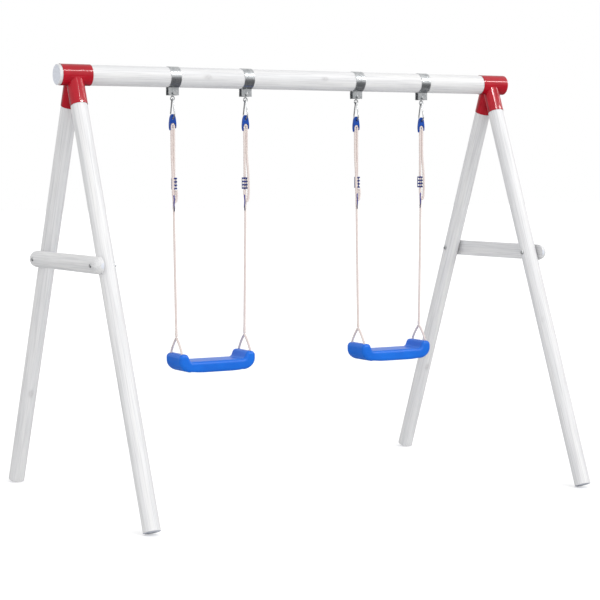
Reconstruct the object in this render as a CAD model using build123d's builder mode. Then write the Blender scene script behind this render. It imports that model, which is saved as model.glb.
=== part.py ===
"""Garden swing set: a round beam on two A-frames, with two rope swings hanging under it.

Millimetres. +X runs along the beam, +Y to the back, +Z up. The origin is on the floor under the
middle of the beam. Hanging points are numbered 1 to 4 from left to right.
"""

import os
from math import asin, atan2, cos, pi, radians, sin, tan

from build123d import *

# ---- frame ----
BEAM_D = 100.0
BEAM_LEN = 2624.0
BEAM_Z = 2095.0          # beam axis above the floor
LEG_D = 82.0
LEG_X = 1222.0           # plane of each pair of legs
LEG_FOOT_Y = 843.0       # where a leg axis meets the floor
LEG_START = 104.0        # leg begins this far down its axis from the beam axis
CROSS_Z = 1195.0
CROSS_HALF = 431.0       # half length of a crossbar
TUBE_LEN = 155.0
TUBE_X = {"left": -1219.0, "right": 1232.0}
TUBE_WALL = 1.9
FIT = 0.1                # gap between a pole and the steel round it
SLEEVE_END = 160.0

# ---- hangers ----
HANG_X = {1: -698.0, 2: -289.0, 3: 368.0, 4: 776.0}
OUT = {1: -1, 2: 1, 3: -1, 4: 1}      # side of each rope that faces away from its seat
STRAP_W = 56.0
STRAP_T = 2.5
FLANGE_IN, FLANGE_OUT = 12.0, 16.0
FLANGE_Z = 2006.0
BOLT_Z = 2018.0
EYE_Z = 1991.0           # centre of the ring of a swivel eye
EYE_R, EYE_WIRE = 10.0, 3.0
PIVOT_Z = EYE_Z - EYE_R  # the swing turns about the lower bar of the eyes
LINK_R = 3.5             # half the wire of a pear link
LINK_TOP_R, LINK_LOW_R = 7.0, 22.0
LINK_LOW_Z = 1915.0

# ---- rope, fitting, adjuster ----
ROPE_D = 12.0
FITTING_HOLE_Z = 1892.8
LOOP_Z = 1864.0          # top of the rope loop, on its centre line
FALL = 6.2               # half the distance between the two falls
ADJ_Z0, ADJ_Z1 = 1541.0, 1599.0
ADJ_W, ADJ_T = 27.0, 16.0
ADJ_BAR = 7.4            # height of one of its four bars
TAIL_Z = 1478.0          # bottom of the tail loop, on its centre line
TAPE_Z0, TAPE_Z1 = 1432.0, 1512.0
TAPE_LEFT = 11.5
ROPE_END_Z = 806.0
YOKE_IN = 12.0           # the lower end of a rope is this much nearer the middle of its seat

# ---- seat ----
SEAT_X = {"left": (HANG_X[1] + HANG_X[2]) / 2, "right": (HANG_X[3] + HANG_X[4]) / 2}
SEAT_HALF_L, SEAT_HALF_W = 213.0, 87.0
SEAT_LOW_Z, SEAT_SIT_Z, SEAT_RIDGE_Z = 625.0, 684.0, 722.0
SEAT_WALL = 5.0
SEAT_RIM_WALL = 9.0       # front and back walls, thicker behind their rounded rims
HOLE_Y = 61.0
YOKE_TOP_Z = 799.5
YOKE_BEND_Z = 733.0
YOKE_END_Z = 716.0
KNOT_R = 11.0

LEAN = atan2(LEG_FOOT_Y, BEAM_Z)      # lean of a leg from upright
LEG_R = LEG_D / 2
LEG_END = (BEAM_Z - LEG_R * sin(LEAN)) / cos(LEAN)
CROSS_Y = (BEAM_Z - CROSS_Z) * tan(LEAN)

os.makedirs("parts", exist_ok=True)


def save(builder, name):
    builder.part.label = name
    export_step(builder.part, f"parts/{name}.step")
    print(name, round(builder.part.volume))


def leg_plane(x, side, s):
    """Plane square to a leg axis, s mm down it; side -1 is the front, +1 the back."""
    way = Vector(0, side * sin(LEAN), -cos(LEAN))
    return Plane(origin=Vector(x, 0, BEAM_Z) + way * s, x_dir=(1, 0, 0), z_dir=way)


def across(x, y, z):
    """Plane whose normal is +X."""
    return Plane(origin=(x, y, z), x_dir=(0, 1, 0), z_dir=(1, 0, 0))


def back(x, y, z):
    """Plane whose normal is +Y, with x_dir +X."""
    return Plane(origin=(x, y, z), x_dir=(1, 0, 0), z_dir=(0, 1, 0))


# ---- beam ----
with BuildPart() as beam:
    with BuildSketch(across(-BEAM_LEN / 2, 0, BEAM_Z)):
        Circle(BEAM_D / 2)
    extrude(amount=BEAM_LEN)
    chamfer(beam.edges().filter_by(GeomType.CIRCLE), 2)
save(beam, "top_beam")

# ---- legs: round poles cut square, drilled for the crossbar bolt ----
for end, sx in (("left", -1), ("right", 1)):
    for place, sy in (("front", -1), ("rear", 1)):
        with BuildPart() as leg:
            with BuildSketch(leg_plane(sx * LEG_X, sy, LEG_START)):
                Circle(LEG_R)
            extrude(amount=LEG_END - LEG_START)
            with BuildSketch(across(sx * LEG_X - 60, sy * CROSS_Y, CROSS_Z)):
                Circle(5.3)
            extrude(amount=120, mode=Mode.SUBTRACT)
            with BuildSketch(across(sx * (LEG_X - LEG_R + 2), sy * CROSS_Y, CROSS_Z)):
                Circle(12)
            extrude(amount=-sx * 10, mode=Mode.SUBTRACT)
        save(leg, f"leg_{place}_{end}")

    # ---- crossbar: half-round pole, its flat face against the outer side of both legs ----
    flat = sx * (LEG_X + LEG_R + FIT)
    with BuildPart() as cross:
        with BuildSketch(across(flat, 0, CROSS_Z)):
            SlotOverall(2 * CROSS_HALF, LEG_D)
            with Locations((0, -LEG_D)):
                Rectangle(3 * CROSS_HALF, 2 * LEG_D, mode=Mode.SUBTRACT)
        revolve(axis=Axis((flat, 0, CROSS_Z), (0, sx, 0)), revolution_arc=180)
        for sy in (-1, 1):
            with BuildSketch(across(flat - sx, sy * CROSS_Y, CROSS_Z)):
                Circle(5.3)
            extrude(amount=sx * 60, mode=Mode.SUBTRACT)
            with BuildSketch(across(flat + sx * (LEG_R - 2), sy * CROSS_Y, CROSS_Z)):
                Circle(12)
            extrude(amount=sx * 10, mode=Mode.SUBTRACT)
    save(cross, f"crossbar_{end}")

    # ---- crossbar bolts: domed head outside, hex nut on the inner side of the leg ----
    head_x = flat + sx * (LEG_R - 2)
    nut_x = sx * (LEG_X - LEG_R + 2)
    with BuildPart() as bolts:
        for sy in (-1, 1):
            with BuildSketch(across(nut_x - sx * 11, sy * CROSS_Y, CROSS_Z)):
                Circle(5)
            extrude(amount=sx * (abs(head_x - nut_x) + 12))
            with BuildSketch(across(head_x + sx * 0.05, sy * CROSS_Y, CROSS_Z)):
                Circle(10.5)
            extrude(amount=sx * 5.5, taper=25)
    save(bolts, f"crossbar_bolts_{end}")
    with BuildPart() as nuts:
        for sy in (-1, 1):
            with BuildSketch(across(nut_x - sx * 0.1, sy * CROSS_Y, CROSS_Z)):
                RegularPolygon(9.8, 6)
                Circle(5.05, mode=Mode.SUBTRACT)
            extrude(amount=-sx * 8)
    save(nuts, f"crossbar_nuts_{end}")

    # ---- corner bracket: a steel tube with two sleeves welded to it ----
    with BuildPart() as bracket:
        with BuildSketch(across(TUBE_X[end] - TUBE_LEN / 2, 0, BEAM_Z)):
            Circle(BEAM_D / 2 + FIT + TUBE_WALL)
        extrude(amount=TUBE_LEN)
        for sy in (-1, 1):
            with BuildSketch(leg_plane(sx * LEG_X, sy, 0)):
                Circle(LEG_R + FIT + TUBE_WALL)
            extrude(amount=SLEEVE_END)
        for sy in (-1, 1):
            with BuildSketch(leg_plane(sx * LEG_X, sy, 58)):
                Circle(LEG_R + FIT)
            extrude(amount=SLEEVE_END, mode=Mode.SUBTRACT)
        with BuildSketch(across(-1400 if sx < 0 else 1000, 0, BEAM_Z)):
            Circle(BEAM_D / 2 + FIT)
        extrude(amount=400, mode=Mode.SUBTRACT)
    save(bracket, f"corner_bracket_{end}")

# ---- hangers ----
for n, x in HANG_X.items():
    with BuildPart() as strap:
        with BuildSketch(across(x - STRAP_W / 2, 0, BEAM_Z)):
            Circle(BEAM_D / 2 + FIT + STRAP_T)
        extrude(amount=STRAP_W)
        for side in (-1, 1):
            with Locations((x, side * (FLANGE_IN + FLANGE_OUT) / 2, (FLANGE_Z + BEAM_Z - 46) / 2)):
                Box(STRAP_W, FLANGE_OUT - FLANGE_IN, BEAM_Z - 46 - FLANGE_Z)
        with BuildSketch(across(x - STRAP_W, 0, BEAM_Z)):
            Circle(BEAM_D / 2 + FIT)
        extrude(amount=2 * STRAP_W, mode=Mode.SUBTRACT)
        with Locations((x, 0, BEAM_Z - 65)):
            Box(STRAP_W + 2, 2 * FLANGE_IN, 60, mode=Mode.SUBTRACT)
        with BuildSketch(back(x, -30, BOLT_Z)):
            Circle(5.2)
        extrude(amount=60, mode=Mode.SUBTRACT)
    save(strap, f"strap_{n}")

    with BuildPart() as bolt:
        with BuildSketch(back(x, -FLANGE_OUT - 0.05, BOLT_Z)):
            RegularPolygon(9.0, 6)
        extrude(amount=-6.4)
        with BuildSketch(back(x, -FLANGE_OUT - 0.05, BOLT_Z)):
            Circle(5)
        extrude(amount=2 * FLANGE_OUT + 12)
    save(bolt, f"strap_bolt_{n}")

    with BuildPart() as nut:
        with BuildSketch(back(x, FLANGE_OUT + 0.05, BOLT_Z)):
            RegularPolygon(9.0, 6)
            Circle(5.05, mode=Mode.SUBTRACT)
        extrude(amount=8)
    save(nut, f"strap_nut_{n}")

    # swivel eye: a short bush on the bolt, with a ring under it
    with BuildPart() as eye:
        with BuildSketch(back(x, -FLANGE_IN + 0.3, BOLT_Z)):
            Circle(8)
        extrude(amount=2 * FLANGE_IN - 0.6)
        with BuildSketch(Plane(origin=(x, 0, EYE_Z + EYE_R - 1))):
            Circle(4)
        extrude(amount=14)
        with BuildSketch(across(x, 0, EYE_Z)):
            with Locations((0, EYE_R)):
                Circle(EYE_WIRE)
        revolve(axis=Axis((x, 0, EYE_Z), (0, 1, 0)))
        with BuildSketch(back(x, -30, BOLT_Z)):
            Circle(5.15)
        extrude(amount=60, mode=Mode.SUBTRACT)
    save(eye, f"swivel_eye_{n}")

    # pear link: closed loop of round wire, narrow end in the eye
    drop = PIVOT_Z - LINK_LOW_Z
    nz = (LINK_LOW_R - LINK_TOP_R) / drop
    ny = cos(asin(nz))
    yz = Plane(origin=(x, 0, 0), x_dir=(0, 1, 0), z_dir=(1, 0, 0))
    with BuildPart() as link:
        with BuildLine(yz) as loop:
            top = [(side * LINK_TOP_R * ny, PIVOT_Z + LINK_TOP_R * nz) for side in (-1, 1)]
            low = [(side * LINK_LOW_R * ny, LINK_LOW_Z + LINK_LOW_R * nz) for side in (-1, 1)]
            ThreePointArc(top[0], (0, PIVOT_Z + LINK_TOP_R), top[1])
            Line(top[1], low[1])
            ThreePointArc(low[1], (0, LINK_LOW_Z - LINK_LOW_R), low[0])
            Line(low[0], top[0])
        start = Vector(x, top[0][0], top[0][1])
        way = Vector(0, top[0][0] - low[0][0], top[0][1] - low[0][1]).normalized()
        with BuildSketch(Plane(origin=start, x_dir=(1, 0, 0), z_dir=way)):
            Circle(LINK_R)
        sweep(path=loop.wires()[0])
    save(link, f"pear_link_{n}")

    # rope fitting: moulded loop with a hole for the link above and two prongs round the rope
    with BuildPart() as fitting:
        with BuildSketch(Plane(origin=(x, -6.5, 0), x_dir=(1, 0, 0), z_dir=(0, -1, 0))):
            with BuildLine():
                Spline((-13.4, 1831), (-17.2, 1845), (-18.2, 1862), (-15.5, 1888), (-9.5, 1907),
                       (0, 1914), (9.5, 1907), (15.5, 1888), (18.2, 1862), (16.8, 1845))
                Polyline((16.8, 1845), (14.4, 1843), (14.4, 1828), (-12.4, 1828), (-13.4, 1831))
            make_face()
            with Locations((0, 1856)):
                Circle(14.4, mode=Mode.SUBTRACT)
            with Locations((0, 1836)):
                Rectangle(28.8, 40, mode=Mode.SUBTRACT)
            with Locations((0, FITTING_HOLE_Z)):
                Circle(6, mode=Mode.SUBTRACT)
        extrude(amount=-15)
        # rear web closing the arch, with the peg the rope hangs on
        with BuildSketch(back(x, 6.3, 0)):
            with Locations((0, -1858)):
                Rectangle(30, 26)
        extrude(amount=2.2)
        with BuildSketch(back(x, -6.5, 0)):
            with Locations((0, -(LOOP_Z - ROPE_D / 2 - 1.9))):
                Circle(1.6)
        extrude(amount=14)
    save(fitting, f"rope_fitting_{n}")

    # hanging rope: tail end, tail loop, outer fall, over the peg, inner fall, seat
    s = OUT[n]
    route = [
        (-FALL - 8, -10.5, 1537), (-FALL - 8, -14.5, TAIL_Z), (8.5, -15, TAIL_Z), (8.5, -15, 1608),
        (FALL, 0, 1700), (FALL + 0.2, 0, 1822), (8, 0, LOOP_Z), (-8, 0, LOOP_Z),
        (-FALL - 0.2, 0, 1822), (-FALL, 0, 1530), (-1, 0, 1478), (-YOKE_IN, 0, ROPE_END_Z),
    ]
    points = [(x + s * u, y, z) for u, y, z in route]
    radii = []
    for a, b, c in zip(points, points[1:], points[2:]):
        p, q = Vector(*b) - Vector(*a), Vector(*c) - Vector(*b)
        radii.append(0.45 * min(p.length, q.length) / tan(radians(p.get_angle(q)) / 2))
    with BuildPart() as rope:
        with BuildLine() as line:
            FilletPolyline(*points, radius=radii)
        with BuildSketch(Plane(origin=points[0], z_dir=Vector(*points[1]) - Vector(*points[0]))):
            Circle(ROPE_D / 2)
        sweep(path=line.wires()[0])
    print("radii", [round(r, 1) for r in radii])
    print("length", round(line.wires()[0].length), "expected volume",
          round(line.wires()[0].length * pi * ROPE_D**2 / 4))
    save(rope, f"hanging_rope_{n}")

    # adjuster: flat block on the inner fall, four bars with three windows between them, the
    # windows open at the sides except for a thin rail along each rear corner
    ax = x - s * FALL
    with BuildPart() as adj:
        with BuildSketch(Plane(origin=(ax, 0, ADJ_Z0))):
            RectangleRounded(ADJ_W, ADJ_T, 2.5)
            Circle(ROPE_D / 2 + 0.4, mode=Mode.SUBTRACT)
        extrude(amount=ADJ_Z1 - ADJ_Z0)
        step = (ADJ_Z1 - ADJ_Z0 - ADJ_BAR) / 3
        with Locations(*[(ax, 0, ADJ_Z0 + (ADJ_BAR + step) / 2 + step * k) for k in range(3)]):
            Box(ADJ_W - 5, ADJ_T + 2, step - ADJ_BAR, mode=Mode.SUBTRACT)
        with Locations(*[(ax, -3, ADJ_Z0 + (ADJ_BAR + step) / 2 + step * k) for k in range(3)]):
            Box(ADJ_W + 2, ADJ_T - 4, step - ADJ_BAR, mode=Mode.SUBTRACT)
    save(adj, f"adjuster_{n}")

    # marker tape hanging in front of the rope, left of the middle of the adjuster
    tape_y = -21.6
    with BuildPart() as tape:
        with Locations((ax - TAPE_LEFT, tape_y, (TAPE_Z0 + TAPE_Z1) / 2)):
            Box(7, 1.0, TAPE_Z1 - TAPE_Z0)
    save(tape, f"marker_tape_{n}")

# ---- seats ----
for end, cx in SEAT_X.items():
    half = [(95, SEAT_LOW_Z), (178, 632), (SEAT_HALF_L, 664), (SEAT_HALF_L, SEAT_RIDGE_Z),
            (167, SEAT_RIDGE_Z), (152, SEAT_SIT_Z)]
    round_by = [500, 70, 50, 22, 20, 20]
    outline = half + [(-a, b) for a, b in reversed(half)]
    blend = round_by + round_by[::-1]
    with BuildPart() as seat:
        with BuildSketch(Plane(origin=(cx, SEAT_HALF_W, 0), x_dir=(1, 0, 0), z_dir=(0, -1, 0))) as prof:
            with BuildLine():
                FilletPolyline(*outline, radius=blend, close=True)
            make_face()
        extrude(amount=2 * SEAT_HALF_W)
        rims = [e for e in seat.edges() if abs(abs(e.center().Y) - SEAT_HALF_W) < 0.01]
        fillet(rims, 18)
        with BuildSketch(Plane(origin=(cx, SEAT_HALF_W - SEAT_RIM_WALL, 0), x_dir=(1, 0, 0), z_dir=(0, -1, 0))):
            with BuildLine():
                FilletPolyline(*outline, radius=blend, close=True)
            make_face()
            offset(amount=-SEAT_WALL, mode=Mode.REPLACE)
            with Locations((0, SEAT_LOW_Z + 2)):
                Rectangle(300, 20)
        extrude(amount=2 * (SEAT_HALF_W - SEAT_RIM_WALL), mode=Mode.SUBTRACT)
        with Locations(*[(cx + a * (204.5 - YOKE_IN), b * HOLE_Y, 720) for a in (-1, 1) for b in (-1, 1)]):
            Cylinder(6.7, 40, mode=Mode.SUBTRACT)
    save(seat, f"seat_{end}")

    with BuildPart() as knots:
        with Locations(*[(cx + a * (204.5 - YOKE_IN), b * HOLE_Y, SEAT_RIDGE_Z - SEAT_WALL - 1.5 - KNOT_R)
                         for a in (-1, 1) for b in (-1, 1)]):
            Sphere(KNOT_R)
    save(knots, f"seat_knots_{end}")

for n, x in HANG_X.items():
    yx = x - OUT[n] * YOKE_IN
    yoke = [(-HOLE_Y, YOKE_END_Z), (-HOLE_Y, YOKE_BEND_Z), (-6, YOKE_TOP_Z), (6, YOKE_TOP_Z),
            (HOLE_Y, YOKE_BEND_Z), (HOLE_Y, YOKE_END_Z)]
    radii = []
    for a, b, c in zip(yoke, yoke[1:], yoke[2:]):
        p, q = Vector(*b) - Vector(*a), Vector(*c) - Vector(*b)
        radii.append(0.45 * min(p.length, q.length) / tan(radians(p.get_angle(q)) / 2))
    with BuildPart() as yoke_rope:
        with BuildLine() as line:
            FilletPolyline(*[(yx, a, b) for a, b in yoke], radius=radii)
        with BuildSketch(Plane(origin=(yx, -HOLE_Y, 721))):
            Circle(ROPE_D / 2)
        sweep(path=line.wires()[0])
    print("radii", [round(r, 1) for r in radii])
    print("length", round(line.wires()[0].length), "expected volume",
          round(line.wires()[0].length * pi * ROPE_D**2 / 4))
    save(yoke_rope, f"yoke_rope_{n}")
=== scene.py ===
"""Looks of a garden swing set: white round-wood frame, red steel corners, two swings with blue seats."""

import math

import bmesh
import bpy
from mathutils import Matrix, Vector


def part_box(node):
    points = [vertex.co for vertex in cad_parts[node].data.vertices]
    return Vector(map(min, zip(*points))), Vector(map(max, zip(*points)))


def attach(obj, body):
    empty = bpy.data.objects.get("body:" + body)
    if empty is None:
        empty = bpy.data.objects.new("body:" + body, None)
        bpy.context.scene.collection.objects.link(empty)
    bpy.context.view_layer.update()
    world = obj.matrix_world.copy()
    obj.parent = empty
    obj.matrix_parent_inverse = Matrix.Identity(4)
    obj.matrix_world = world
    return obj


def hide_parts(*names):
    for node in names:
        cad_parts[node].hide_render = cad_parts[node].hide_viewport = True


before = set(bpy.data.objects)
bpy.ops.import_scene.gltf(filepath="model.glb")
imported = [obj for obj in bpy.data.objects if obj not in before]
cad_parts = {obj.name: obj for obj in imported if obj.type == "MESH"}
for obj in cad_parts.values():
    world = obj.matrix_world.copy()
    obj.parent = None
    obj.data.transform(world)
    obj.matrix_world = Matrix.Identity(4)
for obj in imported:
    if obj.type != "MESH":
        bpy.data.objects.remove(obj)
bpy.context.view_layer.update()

# ---------------------------------------------------------------------------
# Camera: a long lens at 1.64 m, well out in front of the left end of the set, looking slightly
# down along its length.
# ---------------------------------------------------------------------------
CAMERA_AT = Vector((-4.6974, -8.2522, 1.6401))
AZIMUTH, ELEVATION, ROLL = math.radians(-29.788), math.radians(4.073), math.radians(-0.16)
SENSOR_MM, LENS_MM = 36, 110.31
towards_camera = Vector((math.sin(AZIMUTH) * math.cos(ELEVATION),
                         -math.cos(AZIMUTH) * math.cos(ELEVATION), math.sin(ELEVATION)))
level_right = Vector((0, 0, 1)).cross(towards_camera).normalized()
level_up = towards_camera.cross(level_right)
camera_right = level_right * math.cos(ROLL) + level_up * math.sin(ROLL)
camera_up = level_up * math.cos(ROLL) - level_right * math.sin(ROLL)
lens = bpy.data.cameras.new("camera")
lens.sensor_width = SENSOR_MM
lens.lens = LENS_MM
camera = bpy.data.objects.new("camera", lens)
camera.matrix_world = Matrix((
    (camera_right.x, camera_up.x, towards_camera.x, CAMERA_AT.x),
    (camera_right.y, camera_up.y, towards_camera.y, CAMERA_AT.y),
    (camera_right.z, camera_up.z, towards_camera.z, CAMERA_AT.z),
    (0, 0, 0, 1)))
bpy.context.scene.collection.objects.link(camera)
bpy.context.scene.camera = camera

# ---------------------------------------------------------------------------
# Hanging ropes: 12 mm three-strand rope of spun polypropylene, pale beige and slightly fluffy.
# Each starts at its tail loop, goes up over the peg of its fitting, down through the adjuster and
# on to the seat, where its end is spliced round the seat's own short rope.
# ---------------------------------------------------------------------------
ROPE_D = 0.012
ROPE_LAY = 0.040                    # length in which a strand goes once round
YARN_GAP = 0.0026
SPLICE_L, SPLICE_SWELL = 0.035, 0.28    # a rope grows this much thicker over its spliced end
SWINGS = {1: "left", 2: "left", 3: "right", 4: "right"}
HANG_X = {1: -0.698, 2: -0.289, 3: 0.368, 4: 0.776}
OUT = {1: -1, 2: 1, 3: -1, 4: 1}    # side of each rope that faces away from its seat
# from the tail's end to the splice, as (outwards from the rope's own x, y, z)
ROPE_ROUTE = [
    (-0.0142, -0.0105, 1.537), (-0.0142, -0.0145, 1.478), (0.0085, -0.015, 1.478),
    (0.0085, -0.015, 1.608), (0.0062, 0, 1.700), (0.0064, 0, 1.822), (0.008, 0, 1.864),
    (-0.008, 0, 1.864), (-0.0064, 0, 1.822), (-0.0062, 0, 1.530), (-0.001, 0, 1.478),
    (-0.012, 0, 0.806)]


def linear(code):
    """An sRGB hex colour as the linear colour that a shader takes."""
    values = [int(code[i:i + 2], 16) / 255 for i in (1, 3, 5)]
    return [v / 12.92 if v <= 0.04045 else ((v + 0.055) / 1.055) ** 2.4 for v in values] + [1.0]


def add(tree, kind, links=None, **settings):
    """Adds one shader node. links gives its inputs a value or another node's output."""
    node = tree.nodes.new("ShaderNode" + kind)
    for name, value in settings.items():
        setattr(node, name, value)
    for socket, value in (links or {}).items():
        if isinstance(value, bpy.types.NodeSocket):
            tree.links.new(value, node.inputs[socket])
        else:
            node.inputs[socket].default_value = value
    return node


def new_material(name, **values):
    """A material with its surface shader's own values set: returns it, its nodes and that shader."""
    mat = bpy.data.materials.new(name)
    mat.use_nodes = True
    shader = mat.node_tree.nodes["Principled BSDF"]
    for socket, value in values.items():
        shader.inputs[socket.replace("_", " ")].default_value = value
    return mat, mat.node_tree, shader


def colour_ramp(tree, factor, *stops):
    """A colour ramp over (place, hex colour) stops."""
    ramp = add(tree, "ValToRGB", {0: factor})
    while len(ramp.color_ramp.elements) < len(stops):
        ramp.color_ramp.elements.new(0.5)
    for stop, (place, code) in zip(ramp.color_ramp.elements, stops):
        stop.position, stop.color = place, linear(code)
    return ramp.outputs[0]


def finish_piece(name, bm, body, mats, stands_for, crease=180):
    """Makes a mesh a smooth-shaded piece that rides on a body and stands for frame parts."""
    for edge in bm.edges:
        edge.smooth = edge.calc_face_angle(0) < math.radians(crease)
    for face in bm.faces:
        face.smooth = True
    mesh = bpy.data.meshes.new(name)
    bm.to_mesh(mesh)
    bm.free()
    for mat in mats:
        mesh.materials.append(mat)
    made = bpy.data.objects.new(name, mesh)
    bpy.context.scene.collection.objects.link(made)
    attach(made, body)
    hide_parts(*stands_for)
    return made


def rope_line(points):
    """Points along the smooth line that a rope follows: a NURBS with the route as its controls."""
    curve = bpy.data.curves.new("rope line", "CURVE")
    curve.dimensions = "3D"
    curve.resolution_u = 48
    spline = curve.splines.new("NURBS")
    spline.points.add(len(points) - 1)
    for control, place in zip(spline.points, points):
        control.co = (*place, 1)
    spline.order_u = 3
    spline.use_endpoint_u = True
    holder = bpy.data.objects.new("rope line", curve)
    bpy.context.scene.collection.objects.link(holder)
    bpy.context.view_layer.update()
    line = bpy.data.meshes.new_from_object(holder)
    found = [vert.co.copy() for vert in line.vertices]
    bpy.data.objects.remove(holder)
    bpy.data.meshes.remove(line)
    return found


def evenly(points, gap):
    """The same line with points a gap apart, and its length."""
    run = [0.0]
    for a, b in zip(points, points[1:]):
        run.append(run[-1] + (b - a).length)
    count = max(2, round(run[-1] / gap))
    out, k = [], 0
    for i in range(count + 1):
        want = run[-1] * i / count
        while k < len(points) - 2 and run[k + 1] < want:
            k += 1
        step = run[k + 1] - run[k]
        out.append(points[k].lerp(points[k + 1], min(1, (want - run[k]) / step) if step else 0))
    return out, run[-1]


def laid_rope(points, diameter, lay, sides=27, swell=0.0):
    """A three-strand rope along a line, with a UV map of (metres along, turn) for its yarns.

    Returns its mesh and the line's points. swell thickens the last SPLICE_L of it by that share.
    """
    bm = bmesh.new()
    uv = bm.loops.layers.uv.new("along")
    line, total = evenly(points, diameter * 0.22)
    step = total / (len(line) - 1)
    strand = diameter * 0.315               # radius of one strand
    middle = diameter * 0.535 - strand      # from the rope's middle to a strand's
    across = (line[1] - line[0]).normalized().orthogonal()
    rings = []
    for i, place in enumerate(line):
        ahead = (line[min(i + 1, len(line) - 1)] - line[max(i - 1, 0)]).normalized()
        across = (across - ahead * across.dot(ahead)).normalized()
        other = ahead.cross(across)
        turned = i * step / lay * 2 * math.pi
        fuller = 1 + swell * max(0.0, 1 - (total - i * step) / SPLICE_L)
        ring = []
        for k in range(sides):
            angle = 2 * math.pi * k / sides
            off = (angle - turned + math.pi / 3) % (2 * math.pi / 3) - math.pi / 3
            inside = max(0.0, strand ** 2 - (middle * math.sin(off)) ** 2)
            reach = (middle * math.cos(off) + math.sqrt(inside)) * fuller
            way = across * math.cos(angle) + other * math.sin(angle)
            ring.append(bm.verts.new(place + way * reach))
        rings.append(ring)
    for i, (low, high) in enumerate(zip(rings, rings[1:])):
        for k in range(sides):
            face = bm.faces.new((low[k], low[(k + 1) % sides], high[(k + 1) % sides], high[k]))
            for loop, (a, b) in zip(face.loops, ((i, k), (i, k + 1), (i + 1, k + 1), (i + 1, k))):
                loop[uv].uv = (a * step, b / sides)
    bm.faces.new(reversed(rings[0]))
    bm.faces.new(rings[-1])
    bm.normal_update()
    return bm, [tuple(place) for place in line]


# spun fibre: matt, pale beige with a little pink, in random fluffy tone; yarns 2.6 mm apart, drawn
# coarser than they are, with painted shade in the grooves between them
rope_finish, t, shader = new_material("spun polypropylene rope", Roughness=0.9, Sheen_Weight=0.3,
                                      Sheen_Roughness=0.6)
along = add(t, "SeparateXYZ", {0: add(t, "UVMap", uv_map="along").outputs[0]})
run = add(t, "Math", {0: along.outputs[0], 1: 2 * math.pi / YARN_GAP}, operation="MULTIPLY").outputs[0]
yarn = add(t, "Math", {0: along.outputs[1], 1: 12 * math.pi, 2: run}, operation="MULTIPLY_ADD").outputs[0]
yarn = add(t, "Math", {0: yarn}, operation="SINE").outputs[0]
place = add(t, "TexCoord").outputs["Object"]
fluff = add(t, "TexNoise", {"Vector": place, "Scale": 1500.0, "Detail": 4.0}).outputs[0]
relief = add(t, "Math", {0: yarn, 1: 0.18, 2: fluff}, operation="MULTIPLY_ADD").outputs[0]
# the grooves between yarns are painted darker as painted shade; the fluff adds random tone
shade = colour_ramp(t, relief, (0.2, "#c4bab7"), (0.6, "#e9e2df"))
patch = add(t, "TexNoise", {"Vector": place, "Scale": 30.0, "Detail": 3.0}).outputs[0]
patch = colour_ramp(t, patch, (0.35, "#fffbf8"), (0.7, "#f8efee"))
shade = add(t, "Mix", {0: 1.0, 6: shade, 7: patch}, data_type="RGBA", blend_type="MULTIPLY").outputs[2]
t.links.new(shade, shader.inputs["Base Color"])
fibres = add(t, "Bump", {"Strength": 0.45, "Distance": 0.0005, "Height": relief}).outputs[0]
t.links.new(fibres, shader.inputs["Normal"])

for n, x in HANG_X.items():
    line = rope_line([(x + OUT[n] * u, y, z) for u, y, z in ROPE_ROUTE])
    bm, path = laid_rope(line, ROPE_D, ROPE_LAY, swell=SPLICE_SWELL)
    rope = finish_piece(f"rope_{n}", bm, SWINGS[n] + "_swing", [rope_finish], [f"hanging_rope_{n}"])

# ---------------------------------------------------------------------------
# Yoke ropes: a short length of the same rope over each end of a seat, down through its front and
# rear holes, so that every hanging rope ends in an upside-down V.
# ---------------------------------------------------------------------------
HOLE_Y = 0.061                      # a seat's holes are this far in front of and behind its middle
YOKE_ROUTE = [(-HOLE_Y, 0.716), (-HOLE_Y, 0.733), (-0.006, 0.7995), (0.006, 0.7995),
              (HOLE_Y, 0.733), (HOLE_Y, 0.716)]
YOKE_IN = 0.012                     # the splice reaches this far in towards the seat
YOKE_X = {n: x - OUT[n] * YOKE_IN for n, x in HANG_X.items()}
for n, x in YOKE_X.items():
    bm, path = laid_rope(rope_line([(x, y, z) for y, z in YOKE_ROUTE]), ROPE_D, ROPE_LAY)
    yoke = finish_piece(f"seat_rope_{n}", bm, SWINGS[n] + "_seat", [rope_finish], [f"yoke_rope_{n}"])

# ---------------------------------------------------------------------------
# Stopper knots: each end of a yoke rope is tied off under the seat in a tight overhand knot, drawn
# here as a rope that winds three times round its own ring while it goes round it twice.
# ---------------------------------------------------------------------------
KNOT_Z, KNOT_RING, KNOT_COIL, KNOT_ROPE_D = 0.7065, 0.0062, 0.0036, 0.0098
KNOT_STEPS = 120
for side, ropes in (("left", (1, 2)), ("right", (3, 4))):
    knots = bmesh.new()
    for n in ropes:
        for y in (-HOLE_Y, HOLE_Y):
            line = []
            for i in range(KNOT_STEPS + 1):
                a = 2 * math.pi * (0.01 + 0.98 * i / KNOT_STEPS)
                out = KNOT_RING + KNOT_COIL * math.cos(3 * a)
                line.append(Vector((YOKE_X[n] + out * math.cos(2 * a), y + out * math.sin(2 * a),
                                    KNOT_Z + KNOT_COIL * math.sin(3 * a))))
            bm, _ = laid_rope(line, KNOT_ROPE_D, ROPE_LAY * 0.8, sides=18)
            spare = bpy.data.meshes.new("knot")
            bm.to_mesh(spare)
            bm.free()
            knots.from_mesh(spare)
            bpy.data.meshes.remove(spare)
    tied = finish_piece(f"stopper_knots_{side}", knots, f"{side}_seat", [rope_finish], [f"seat_knots_{side}"])

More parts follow.
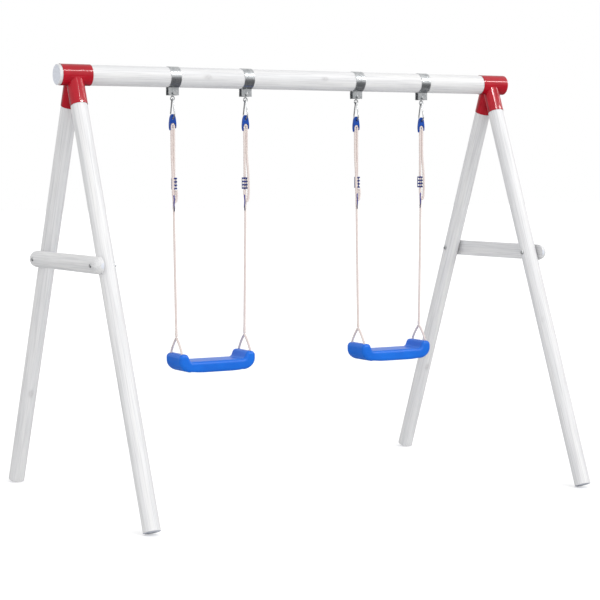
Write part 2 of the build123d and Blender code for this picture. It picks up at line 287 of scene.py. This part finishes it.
# ---------------------------------------------------------------------------
# Round wood: beam, four legs and two half-round crossbars, machined from softwood poles and
# painted white. The grain shows faintly through the paint, with a few painted-over knots.
# ---------------------------------------------------------------------------
BEAM_Z, FOOT_Y = 2.095, 0.843       # the beam's middle; where a leg's line meets the ground
LEG_X = 1.222
CROSSBAR_X, CROSSBAR_Z = 1.2631, 1.195
LEAN = math.atan2(FOOT_Y, BEAM_Z)   # lean of a leg from upright
GRAIN_SHIFT = 7.0                   # metres of grain from one pole to the next, so that none match


def joined_copy(node):
    """A copy of a frame part's mesh, its loose triangles joined where corners lie within 1 micrometre."""
    bm = bmesh.new()
    bm.from_mesh(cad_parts[node].data)
    bmesh.ops.remove_doubles(bm, verts=bm.verts, dist=0.000001)
    return bm


def sharpest(values, tree):
    """The largest of several values."""
    top = values[0]
    for value in values[1:]:
        top = add(tree, "Math", {0: top, 1: value}, operation="MAXIMUM").outputs[0]
    return top


# each knot's place, and how much a distance counts along x, y and z: under 1 makes it longer that way
KNOTS = [((-0.525, -0.050, 2.098), (0.55, 1, 1)), ((0.150, -0.049, 2.103), (0.6, 1, 1)),
         ((-1.226, 0.602, 0.489), (1, 0.8, 0.5)), ((1.219, 0.601, 0.4915), (1, 0.8, 0.55)),
         ((-0.95, 0.045, 2.12), (0.6, 1, 1)), ((0.82, 0.03, 2.06), (0.6, 1, 1)),
         ((1.2, -0.52, 0.84), (1, 0.8, 0.55)), ((-1.19, -0.31, 1.29), (1, 0.8, 0.55))]
KNOT_CORE, KNOT_EDGE = 0.003, 0.020
# white paint on softwood: eggshell, with streaks of grain about 4 and 30 mm wide and a few knots
paint, t, shader = new_material("white paint on round softwood", Roughness=0.52, Coat_Weight=0.06,
                                Coat_Roughness=0.35)
grain = add(t, "Attribute", attribute_name="grain").outputs["Vector"]
place = add(t, "TexCoord").outputs["Object"]
wide = add(t, "Mapping", {"Vector": grain, "Scale": (34, 34, 1.1)}).outputs[0]
fine = add(t, "Mapping", {"Vector": grain, "Scale": (260, 260, 4.0)}).outputs[0]
wide = add(t, "TexNoise", {"Vector": wide, "Scale": 1.0, "Detail": 3.0, "Distortion": 0.4}).outputs[0]
fine = add(t, "TexNoise", {"Vector": fine, "Scale": 1.0, "Detail": 2.0}).outputs[0]
near_knots = []
for spot, stretch in KNOTS:
    shift = add(t, "VectorMath", {0: place, 1: spot}, operation="SUBTRACT").outputs[0]
    shift = add(t, "VectorMath", {0: shift, 1: stretch}, operation="MULTIPLY").outputs[0]
    far = add(t, "VectorMath", {0: shift}, operation="LENGTH").outputs["Value"]
    near_knots.append(add(t, "MapRange", {0: far, 1: KNOT_CORE, 2: KNOT_EDGE, 3: 1.0, 4: 0.0},
                          interpolation_type="SMOOTHSTEP").outputs[0])
knot = sharpest(near_knots, t)
wood_white = colour_ramp(t, wide, (0.28, "#d8d9da"), (0.5, "#e0e0e1"), (0.72, "#e5e5e4"))
lines = colour_ramp(t, fine, (0.32, "#ebebec"), (0.56, "#ffffff"))
shade = add(t, "Mix", {0: 1.0, 6: wood_white, 7: lines}, data_type="RGBA", blend_type="MULTIPLY").outputs[2]
blotch = add(t, "TexNoise", {"Vector": place, "Scale": 90.0, "Detail": 3.0}).outputs[0]
smudge = add(t, "Math", {0: knot, 1: blotch}, operation="MULTIPLY").outputs[0]
shade = add(t, "Mix", {0: smudge, 6: shade, 7: linear("#b4b2b3")}, data_type="RGBA").outputs[2]
t.links.new(shade, shader.inputs["Base Color"])
rise = add(t, "Math", {0: wide, 1: 0.7, 2: fine}, operation="MULTIPLY_ADD").outputs[0]
rise = add(t, "Math", {0: knot, 1: 0.5, 2: rise}, operation="MULTIPLY_ADD").outputs[0]
relief = add(t, "Bump", {"Strength": 0.18, "Distance": 0.0008, "Height": rise}).outputs[0]
t.links.new(relief, shader.inputs["Normal"])

# sawn ends under the same paint: duller, with faint growth rings 3 mm apart; their cooler, darker white is
# painted shade
RING_GAP = 0.003
end_paint_with_shade, t, shader = new_material("white paint on end grain with painted shade", Roughness=0.6)
grain = add(t, "Attribute", attribute_name="grain").outputs["Vector"]
rings = add(t, "Mapping", {"Vector": grain, "Location": (0.006, 0.004, 0), "Scale": (1, 1, 0)}).outputs[0]
wobble = add(t, "TexNoise", {"Vector": grain, "Scale": 25.0}).outputs[0]
rings = add(t, "VectorMath", {0: rings}, operation="LENGTH").outputs["Value"]
rings = add(t, "Math", {0: wobble, 1: 0.012, 2: rings}, operation="MULTIPLY_ADD").outputs[0]
rings = add(t, "Math", {0: rings, 1: 2 * math.pi / RING_GAP}, operation="MULTIPLY").outputs[0]
rings = add(t, "Math", {0: rings}, operation="SINE").outputs[0]
t.links.new(colour_ramp(t, rings, (0.0, "#d3d7e0"), (1.0, "#dde1ea")), shader.inputs["Base Color"])
relief = add(t, "Bump", {"Strength": 0.25, "Distance": 0.0004, "Height": rings}).outputs[0]
t.links.new(relief, shader.inputs["Normal"])

# each pole's direction and a point on its middle line
POLES = {"top_beam": (Vector((1, 0, 0)), Vector((0, 0, BEAM_Z)))}
for end, sign in (("left", -1), ("right", 1)):
    POLES[f"crossbar_{end}"] = (Vector((0, 1, 0)), Vector((sign * CROSSBAR_X, 0, CROSSBAR_Z)))
    for row, side in (("front", -1), ("rear", 1)):
        POLES[f"leg_{row}_{end}"] = (Vector((0, side * math.sin(LEAN), -math.cos(LEAN))),
                                     Vector((sign * LEG_X, 0, BEAM_Z)))
for i, (node, (axis, start)) in enumerate(POLES.items()):
    bm = joined_copy(node)
    layer = bm.verts.layers.float_vector.new("grain")
    across = axis.orthogonal().normalized()
    other = axis.cross(across)
    for vert in bm.verts:
        off = vert.co - start
        vert[layer] = (off.dot(across), off.dot(other), off.dot(axis) + GRAIN_SHIFT * i)
    # end faces take the end-grain paint, darkened with painted shade
    for face in bm.faces:
        face.material_index = 1 if abs(face.normal.dot(axis)) > 0.95 else 0
    pole = finish_piece(f"{node}_wood", bm, "frame", [paint, end_paint_with_shade], [node], crease=35)

# ---------------------------------------------------------------------------
# Crossbar bolts: zinc-plated M10 coach bolts, with domed heads on the outside of each A-frame and
# hex nuts on the inside.
# ---------------------------------------------------------------------------
# zinc plate: bright, slightly bluish, cloudy where it has dulled
zinc, t, shader = new_material("bright zinc plate", Metallic=1.0, Roughness=0.3)
place = add(t, "TexCoord").outputs["Object"]
cloud = add(t, "TexNoise", {"Vector": place, "Scale": 260.0, "Detail": 4.0}).outputs[0]
t.links.new(colour_ramp(t, cloud, (0.3, "#bcbfc1"), (0.7, "#dfe0e0")), shader.inputs["Base Color"])
dull = add(t, "MapRange", {0: cloud, 3: 0.2, 4: 0.45}).outputs[0]
t.links.new(dull, shader.inputs["Roughness"])


def bevelled(piece, width):
    """Rounds a piece's edges sharper than 35 degrees by a small width."""
    bevel = piece.modifiers.new("worn edges", "BEVEL")
    bevel.width = width
    bevel.segments = 2
    bevel.limit_method = "ANGLE"
    bevel.angle_limit = math.radians(35)
    bevel.use_clamp_overlap = True
    return piece


def flattened(bm):
    """Joins the triangles of each flat face, so that only real edges are left to round."""
    bmesh.ops.dissolve_limit(bm, angle_limit=math.radians(0.4), verts=bm.verts, edges=bm.edges)
    return bm


for end in ("left", "right"):
    for kind in ("bolts", "nuts"):
        node = f"crossbar_{kind}_{end}"
        made = finish_piece(f"{node}_zinc", flattened(joined_copy(node)), "frame", [zinc], [node],
                            crease=30)
        bevelled(made, 0.0005)

# ---------------------------------------------------------------------------
# Corner brackets: a steel tube for the beam with two leaning tube sleeves welded under it for the
# legs, enamelled glossy red all over.
# ---------------------------------------------------------------------------
# sprayed gloss enamel: deep red, with slight orange peel about 2 mm across
enamel, t, shader = new_material("red gloss enamel on steel", Roughness=0.3, Coat_Weight=0.45,
                                 Coat_Roughness=0.06, Specular_IOR_Level=0.15)
place = add(t, "TexCoord").outputs["Object"]
peel = add(t, "TexNoise", {"Vector": place, "Scale": 450.0, "Detail": 1.0}).outputs[0]
depth = add(t, "TexNoise", {"Vector": place, "Scale": 14.0, "Detail": 3.0}).outputs[0]
t.links.new(colour_ramp(t, depth, (0.3, "#a30b1e"), (0.7, "#b51025")), shader.inputs["Base Color"])
relief = add(t, "Bump", {"Strength": 0.05, "Distance": 0.0003, "Height": peel}).outputs[0]
t.links.new(relief, shader.inputs["Normal"])
# the cut rims are painted dark red as painted shade, and made duller
rim_enamel_painted_shade, t, shader = new_material("red enamel on cut rims with painted shade", Roughness=0.45)
place = add(t, "TexCoord").outputs["Object"]
rim_mottle = add(t, "TexNoise", {"Vector": place, "Scale": 600.0, "Detail": 2.0}).outputs[0]
t.links.new(colour_ramp(t, rim_mottle, (0.35, "#5f0d17"), (0.7, "#7d121f")), shader.inputs["Base Color"])
for end in ("left", "right"):
    node = f"corner_bracket_{end}"
    bm = joined_copy(node)
    ends = [Vector((1, 0, 0))] + [Vector((0, s * math.sin(LEAN), -math.cos(LEAN))) for s in (-1, 1)]
    # faces cut square across a tube take the rim finish, with its painted shade
    for face in bm.faces:
        cut = max(abs(face.normal.dot(way)) for way in ends) > 0.999
        face.material_index = 1 if cut else 0
    bracket = finish_piece(f"{node}_enamel", bm, "frame", [enamel, rim_enamel_painted_shade], [node], crease=35)

# ---------------------------------------------------------------------------
# Beam straps: bands of galvanised sheet bent round the beam, their ends closed by a bolt that also
# carries the swivel eye. Hex bolt in front, nut behind.
# ---------------------------------------------------------------------------
# hot-dip galvanising: zinc crystals about 7 mm across, each a little lighter or darker
galvanised, t, shader = new_material("hot-dip galvanised sheet", Metallic=1.0, Roughness=0.35)
place = add(t, "TexCoord").outputs["Object"]
crystal = add(t, "TexVoronoi", {"Vector": place, "Scale": 150.0, "Randomness": 1.0})
tint = add(t, "SeparateColor", {0: crystal.outputs["Color"]}).outputs[0]
drift = add(t, "TexNoise", {"Vector": place, "Scale": 40.0, "Detail": 4.0}).outputs[0]
tint = add(t, "Math", {0: tint, 1: 0.4, 2: drift}, operation="MULTIPLY_ADD").outputs[0]
t.links.new(colour_ramp(t, tint, (0.35, "#a9adaf"), (0.65, "#bfc2c4"), (0.95, "#d6d8d9")),
            shader.inputs["Base Color"])
dull = add(t, "MapRange", {0: tint, 1: 0.3, 2: 1.0, 3: 0.36, 4: 0.27}).outputs[0]
t.links.new(dull, shader.inputs["Roughness"])
for n in HANG_X:
    strap = finish_piece(f"strap_{n}_sheet", flattened(joined_copy(f"strap_{n}")), "frame", [galvanised],
                         [f"strap_{n}"], crease=30)
    bevelled(strap, 0.0004)
    for kind in ("bolt", "nut"):
        node = f"strap_{kind}_{n}"
        made = finish_piece(f"{node}_zinc", flattened(joined_copy(node)), "frame", [zinc], [node],
                            crease=30)
        bevelled(made, 0.0004)

# ---------------------------------------------------------------------------
# Hooks: a swivel eye hangs from each strap bolt, and a closed pear-shaped link of bent zinc-plated
# wire joins it to the rope fitting.
# ---------------------------------------------------------------------------
for n in HANG_X:
    eye = finish_piece(f"swivel_eye_{n}_zinc", joined_copy(f"swivel_eye_{n}"), "frame", [zinc],
                       [f"swivel_eye_{n}"], crease=40)
    link = finish_piece(f"pear_link_{n}_zinc", joined_copy(f"pear_link_{n}"), SWINGS[n] + "_swing",
                        [zinc], [f"pear_link_{n}"], crease=40)

# ---------------------------------------------------------------------------
# Rope fittings: moulded oval plastic eyes in dark blue, with a hole for the link above and an arch
# for the rope below.
# ---------------------------------------------------------------------------
# moulded nylon: satin, with a fine spark-erosion texture about 0.6 mm across
fitting_blue, t, shader = new_material("dark blue moulded nylon", Roughness=0.3, Specular_IOR_Level=0.3)
place = add(t, "TexCoord").outputs["Object"]
tone = add(t, "TexNoise", {"Vector": place, "Scale": 70.0, "Detail": 2.0}).outputs[0]
t.links.new(colour_ramp(t, tone, (0.3, "#0a3d94"), (0.7, "#104cac")), shader.inputs["Base Color"])
pits = add(t, "TexNoise", {"Vector": place, "Scale": 1600.0, "Detail": 1.0}).outputs[0]
relief = add(t, "Bump", {"Strength": 0.08, "Distance": 0.0003, "Height": pits}).outputs[0]
t.links.new(relief, shader.inputs["Normal"])
for n in HANG_X:
    node = f"rope_fitting_{n}"
    made = finish_piece(f"{node}_moulded", flattened(joined_copy(node)), SWINGS[n] + "_swing",
                        [fitting_blue], [node], crease=30)
    bevelled(made, 0.0010)

# ---------------------------------------------------------------------------
# Adjusters: navy plastic blocks with four bars, through which the rope is threaded so that the
# height of the seat can be set.
# ---------------------------------------------------------------------------
# the same nylon in navy, a little duller
adjuster_blue, t, shader = new_material("navy moulded nylon", Roughness=0.34, Specular_IOR_Level=0.3)
place = add(t, "TexCoord").outputs["Object"]
tone = add(t, "TexNoise", {"Vector": place, "Scale": 90.0, "Detail": 2.0}).outputs[0]
t.links.new(colour_ramp(t, tone, (0.3, "#18266b"), (0.7, "#1f3080")), shader.inputs["Base Color"])
pits = add(t, "TexNoise", {"Vector": place, "Scale": 1600.0, "Detail": 1.0}).outputs[0]
relief = add(t, "Bump", {"Strength": 0.08, "Distance": 0.0003, "Height": pits}).outputs[0]
t.links.new(relief, shader.inputs["Normal"])
for n in HANG_X:
    node = f"adjuster_{n}"
    made = finish_piece(f"{node}_moulded", flattened(joined_copy(node)), SWINGS[n] + "_swing",
                        [adjuster_blue], [node], crease=30)
    bevelled(made, 0.0006)

# ---------------------------------------------------------------------------
# Marker strips: a thin purplish-blue plastic strip stuck down the front of each tail loop, slightly
# wavy, its lower tip darkened with painted shade.
# ---------------------------------------------------------------------------
STRIP_W, STRIP_L, STRIP_THICK = 0.0065, 0.080, 0.0007
STRIP_LOW_Z, STRIP_TOP_Z = 1.432, 1.512
# smooth coloured plastic: satin, even colour, with painted shade darkening it towards the lower tip
strip_blue, t, shader = new_material("purple-blue plastic strip", Roughness=0.4)
height = add(t, "SeparateXYZ", {0: add(t, "TexCoord").outputs["Object"]}).outputs[2]
height = add(t, "MapRange", {0: height, 1: STRIP_LOW_Z, 2: STRIP_TOP_Z}).outputs[0]
# the lowest part is painted near black by height: painted shade
tone = colour_ramp(t, height, (0.0, "#15133c"), (0.22, "#1b194c"), (0.35, "#2b2a7e"), (1.0, "#302f8c"))
t.links.new(tone, shader.inputs["Base Color"])
for n in HANG_X:
    low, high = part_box(f"marker_tape_{n}")
    middle = (low + high) / 2
    bm = bmesh.new()
    bmesh.ops.create_grid(bm, x_segments=2, y_segments=28, size=0.5)
    bmesh.ops.scale(bm, vec=(STRIP_W, high.z - low.z, 1), verts=bm.verts)
    bmesh.ops.rotate(bm, matrix=Matrix.Rotation(math.pi / 2, 3, "X"), verts=bm.verts)
    for vert in bm.verts:
        bend = (vert.co.z + STRIP_L / 2) / STRIP_L * 2 * math.pi
        wave = Vector((0.0011 * math.sin(1.5 * bend + n), 0.0004 * math.sin(2.2 * bend), 0))
        vert.co += wave + middle
    bmesh.ops.solidify(bm, geom=bm.faces, thickness=STRIP_THICK)
    bmesh.ops.recalc_face_normals(bm, faces=bm.faces)
    strip = finish_piece(f"marker_strip_{n}", bm, SWINGS[n] + "_swing", [strip_blue], [f"marker_tape_{n}"],
                         crease=50)

# ---------------------------------------------------------------------------
# Seats: moulded polyethylene in bright blue, with a raised rounded ridge at each end to hold the
# ropes, hollow and open underneath.
# ---------------------------------------------------------------------------
# polyethylene: waxy satin, even colour, with fine grain about 1 mm across from the mould
seat_blue, t, shader = new_material("blue polyethylene", Roughness=0.34, Specular_IOR_Level=0.3,
                                    Subsurface_Weight=0.05, Subsurface_Scale=1.0,
                                    Subsurface_Radius=(0.002, 0.003, 0.006))
place = add(t, "TexCoord").outputs["Object"]
tone = add(t, "TexNoise", {"Vector": place, "Scale": 9.0, "Detail": 3.0}).outputs[0]
t.links.new(colour_ramp(t, tone, (0.3, "#0563cf"), (0.7, "#0a6ddb")), shader.inputs["Base Color"])
pits = add(t, "TexNoise", {"Vector": place, "Scale": 900.0, "Detail": 2.0}).outputs[0]
relief = add(t, "Bump", {"Strength": 0.12, "Distance": 0.0004, "Height": pits}).outputs[0]
t.links.new(relief, shader.inputs["Normal"])
for side in ("left", "right"):
    seat = finish_piece(f"seat_{side}_moulded", joined_copy(f"seat_{side}"), f"{side}_seat", [seat_blue],
                        [f"seat_{side}"], crease=35)
    fair = seat.modifiers.new("even shading", "WEIGHTED_NORMAL")
    fair.keep_sharp = True

# ---------------------------------------------------------------------------
# Studio: a pale floor, a bright sweep all round, one very soft sun above and in front, and four
# strip lights that only show as highlights in gloss and metal.
# ---------------------------------------------------------------------------
# the sweep is plain white to the camera, a little darker in gloss, and lights more from in front
world = bpy.data.worlds.new("studio")
bpy.context.scene.world = world
world.use_nodes = True
t = world.node_tree
direction = add(t, "TexCoord").outputs["Generated"]
front = add(t, "VectorMath", {0: direction, 1: (-0.6, -0.8, 0.0)}, operation="DOT_PRODUCT").outputs["Value"]
front = add(t, "MapRange", {0: front, 1: -1.0, 2: 1.0, 3: 0.68, 4: 1.06}).outputs[0]
rays = add(t, "LightPath")
level = add(t, "Mix", {0: rays.outputs["Is Glossy Ray"], 2: front, 3: 0.8}, data_type="FLOAT").outputs[0]
level = add(t, "Mix", {0: rays.outputs["Is Camera Ray"], 2: level, 3: 1.0}, data_type="FLOAT").outputs[0]
t.links.new(level, t.nodes["Background"].inputs[1])
t.nodes["Background"].inputs[0].default_value = (1, 1, 1, 1)
bpy.context.scene.view_settings.view_transform = "Standard"


def aimed(lamp, place, aim):
    """Puts a light in the scene, aimed at a point, out of the camera's sight."""
    holder = bpy.data.objects.new(lamp.name, lamp)
    holder.rotation_euler = (Vector(aim) - Vector(place)).to_track_quat("-Z", "Y").to_euler()
    holder.location = place
    holder.visible_camera = False
    bpy.context.scene.collection.objects.link(holder)
    return holder


BEAM_AIM = (0, 0, 1.9)
main = bpy.data.lights.new("large soft light", "SUN")
main.energy = 1.05
main.angle = math.radians(50)
aimed(main, (2.0, -7.5, 6.2), (0, 0, 0)).visible_glossy = False
for name, place, size, power in (("front strip", (1.0, -5.2, 7.0), (4.0, 0.35), 260),
                                 ("far front strip", (6.9, -5.2, 7.0), (3.0, 0.35), 240),
                                 ("right strip", (6.0, -0.8, 5.4), (0.5, 3.5), 70),
                                 ("left strip", (-6.5, -4.0, 3.0), (0.4, 3.0), 50)):
    strip_light = bpy.data.lights.new(name, "AREA")
    strip_light.shape = "RECTANGLE"
    strip_light.size, strip_light.size_y = size
    strip_light.energy = power
    aimed(strip_light, place, BEAM_AIM).visible_diffuse = False

# matt paper: near white, but darker in gloss; it is lifted to plain white for the camera
floor_finish, t, shader = new_material("pale studio floor", Roughness=1.0, Specular_IOR_Level=0.0)
rays = add(t, "LightPath")
tone = add(t, "Mix", {0: rays.outputs["Is Glossy Ray"], 6: linear("#e6e6e6"), 7: linear("#6e6e70")},
           data_type="RGBA").outputs[2]
t.links.new(tone, shader.inputs["Base Color"])
shader.inputs["Emission Color"].default_value = (1, 1, 1, 1)
FLOOR_REACH, FLOOR_GAP = 60, 0.0005     # half its width, and how far it lies below the feet
lift = add(t, "Math", {0: rays.outputs["Is Camera Ray"], 1: 0.32}, operation="MULTIPLY").outputs[0]
t.links.new(lift, shader.inputs["Emission Strength"])
bm = bmesh.new()
bmesh.ops.create_grid(bm, x_segments=4, y_segments=4, size=FLOOR_REACH)
bmesh.ops.translate(bm, vec=(0, 0, -FLOOR_GAP), verts=bm.verts)
mesh = bpy.data.meshes.new("floor")
bm.to_mesh(mesh)
bm.free()
mesh.materials.append(floor_finish)
floor = bpy.data.objects.new("floor", mesh)
bpy.context.scene.collection.objects.link(floor)
